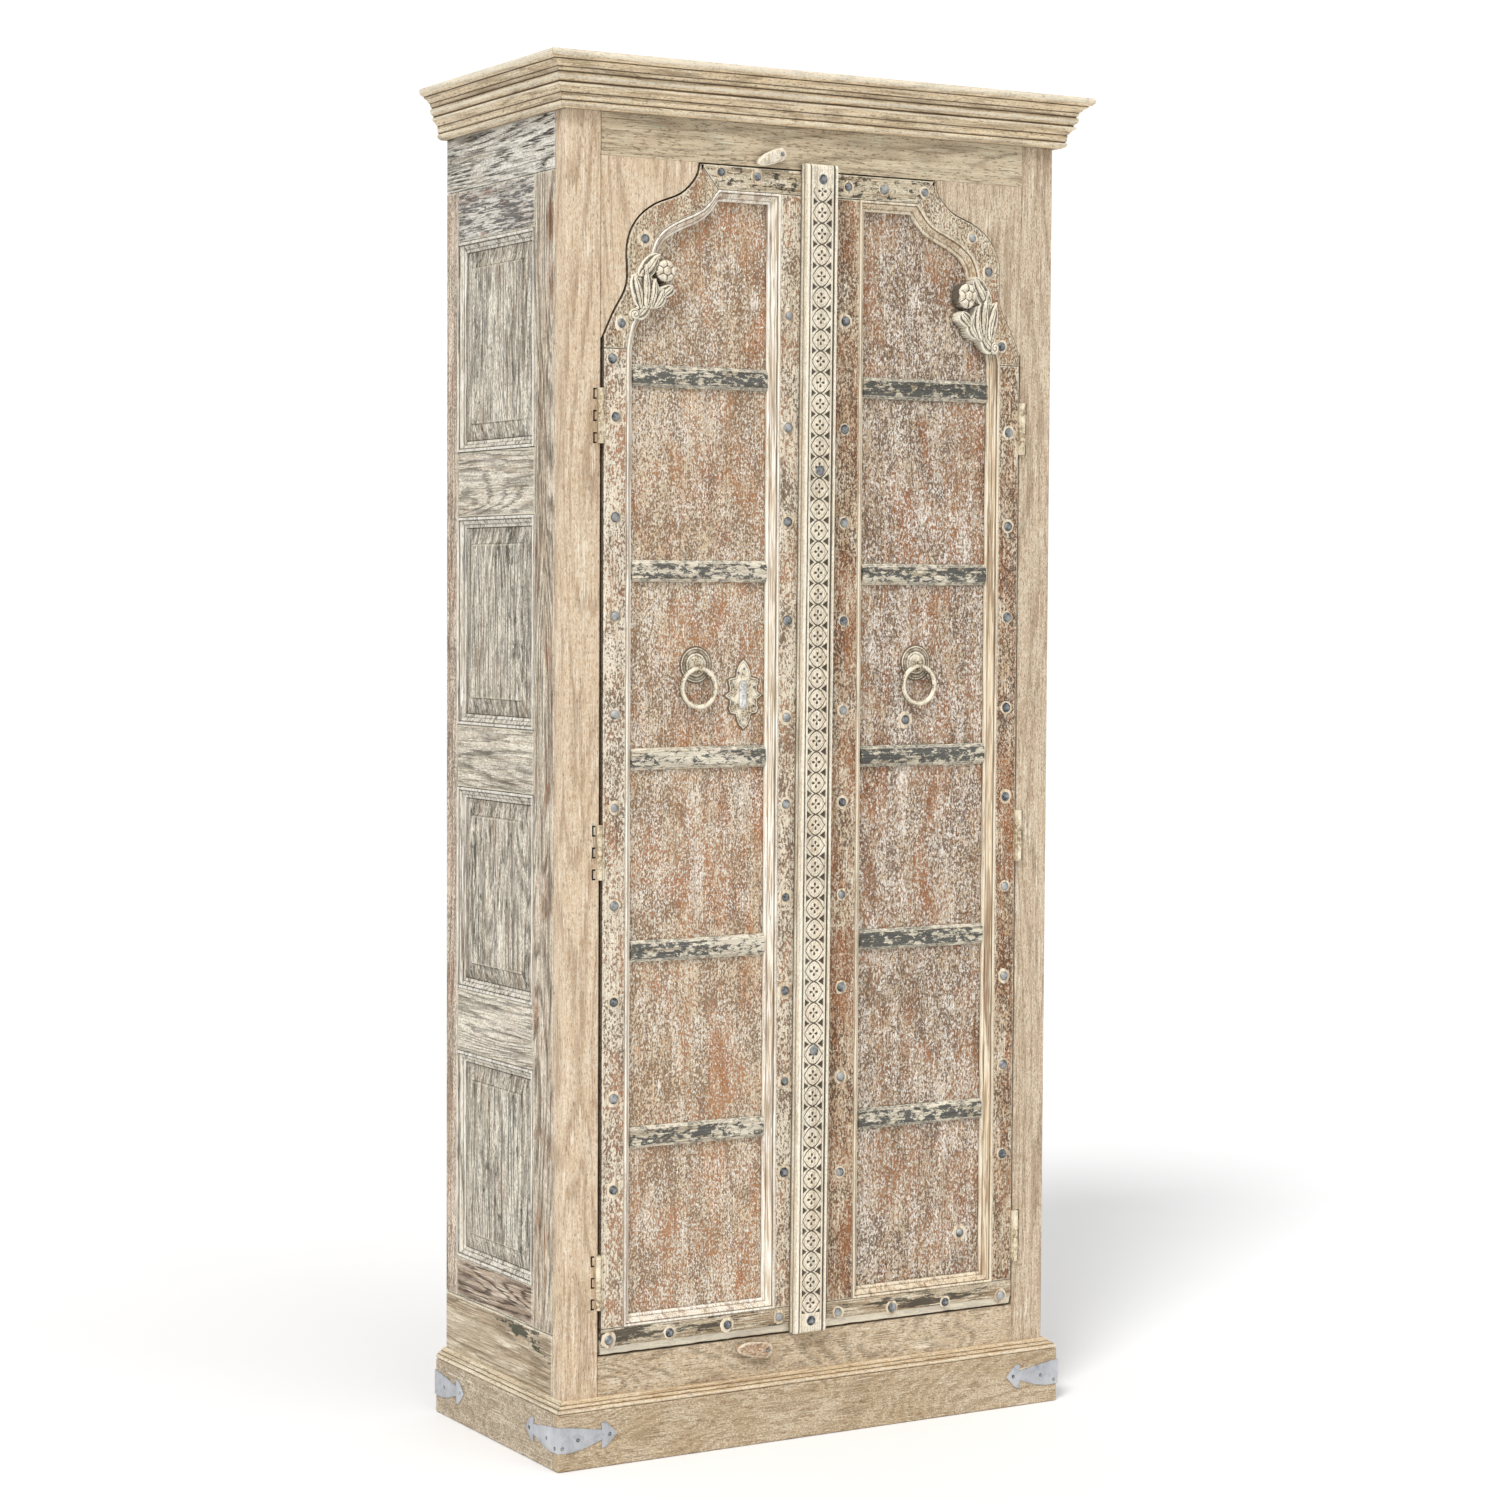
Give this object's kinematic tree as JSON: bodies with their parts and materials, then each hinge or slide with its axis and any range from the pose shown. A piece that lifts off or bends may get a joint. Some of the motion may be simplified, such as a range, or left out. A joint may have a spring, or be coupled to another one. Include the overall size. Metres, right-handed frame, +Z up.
{
  "type": "armoire",
  "caption": "Tall two-door armoire of reclaimed wood with panelled sides, arched doors, cornice, shelves and an iron-strapped plinth.",
  "frame": {"origin": "centre of the object's footprint, on the floor", "axes": "+Z up, front faces -Y, +X to the right when facing the front"},
  "size_m": [0.9652, 0.4318, 2.0574],
  "materials": {
    "honey_wood": "worn, smoothed wood with a fine grain",
    "cream_wood": "limewashed wood with worn paint",
    "limed_wood": "speckled limewash over old paint",
    "weathered_wood": "rough weathered wood with raised grain",
    "inner_wood": "plain sawn wood",
    "painted_iron": "iron with worn cream paint",
    "hinge_steel": "steel with worn cream paint",
    "galvanised": "galvanised sheet steel"
  },
  "bodies": {
    "carcass": {"back_panel": "inner_wood", "bottom_board": "inner_wood", "corner_strap_back_left": "galvanised", "corner_strap_back_right": "galvanised", "corner_strap_front_left": "galvanised", "corner_strap_front_right": "galvanised", "cornice_front": "cream_wood", "cornice_left": "cream_wood", "cornice_right": "cream_wood", "front_bottom_rail": "honey_wood", "front_stile_left": "honey_wood", "front_stile_right": "honey_wood", "front_top_rail": "cream_wood", "hinge_left_bottom_frame_leaf": "hinge_steel", "hinge_left_middle_frame_leaf": "hinge_steel", "hinge_left_top_frame_leaf": "hinge_steel", "hinge_right_bottom_frame_leaf": "hinge_steel", "hinge_right_middle_frame_leaf": "hinge_steel", "hinge_right_top_frame_leaf": "hinge_steel", "plinth_front_board": "honey_wood", "plinth_left_board": "honey_wood", "plinth_moulding_front": "honey_wood", "plinth_moulding_left": "honey_wood", "plinth_moulding_right": "honey_wood", "plinth_right_board": "honey_wood", "shelf_1": "inner_wood", "shelf_2": "inner_wood", "shelf_3": "inner_wood", "shelf_4": "inner_wood", "side_frame_left": "weathered_wood", "side_frame_right": "weathered_wood", "side_panel_left_1": "weathered_wood", "side_panel_left_2": "weathered_wood", "side_panel_left_3": "weathered_wood", "side_panel_left_4": "weathered_wood", "side_panel_right_1": "weathered_wood", "side_panel_right_2": "weathered_wood", "side_panel_right_3": "weathered_wood", "side_panel_right_4": "weathered_wood", "spandrel_left": "honey_wood", "spandrel_right": "honey_wood", "top_board": "inner_wood"},
    "door_left": {"door_left_frame": "cream_wood", "door_left_panel": "limed_wood", "rosette_left": "painted_iron", "hinge_left_bottom_door_leaf": "hinge_steel", "hinge_left_middle_door_leaf": "hinge_steel", "hinge_left_top_door_leaf": "hinge_steel", "astragal": "cream_wood", "lock_plate": "painted_iron"},
    "door_right": {"door_right_frame": "cream_wood", "door_right_panel": "limed_wood", "rosette_right": "painted_iron", "hinge_right_bottom_door_leaf": "hinge_steel", "hinge_right_middle_door_leaf": "hinge_steel", "hinge_right_top_door_leaf": "hinge_steel"},
    "ring_left": {"ring_left": "painted_iron"},
    "ring_right": {"ring_right": "painted_iron"},
    "latch_top": {"latch_top": "cream_wood"},
    "latch_bottom": {"latch_bottom": "cream_wood"}
  },
  "joints": [
    {"name": "door_left_hinge", "type": "hinge", "parent": "carcass", "child": "door_left", "pos_m": [-0.378, -0.173, 0.905], "axis": [0, 0, -1], "range_deg": [0, 165]},
    {"name": "door_right_hinge", "type": "hinge", "parent": "carcass", "child": "door_right", "pos_m": [0.378, -0.173, 0.905], "axis": [0, 0, 1], "range_deg": [0, 165]},
    {"name": "ring_left_swing", "type": "hinge", "parent": "door_left", "child": "ring_left", "pos_m": [-0.205, -0.1637, 1.17275], "axis": [-1, 0, 0], "range_deg": [0, 100]},
    {"name": "ring_right_swing", "type": "hinge", "parent": "door_right", "child": "ring_right", "pos_m": [0.191, -0.1637, 1.17275], "axis": [-1, 0, 0], "range_deg": [0, 100]},
    {"name": "latch_top_turn", "type": "hinge", "parent": "carcass", "child": "latch_top", "pos_m": [-0.077, -0.1679, 1.937], "axis": [0, -1, 0], "range_deg": [-68, 30]},
    {"name": "latch_bottom_turn", "type": "hinge", "parent": "carcass", "child": "latch_bottom", "pos_m": [-0.091, -0.1679, 0.141], "axis": [0, -1, 0], "range_deg": [-40, 30]}
  ]
}
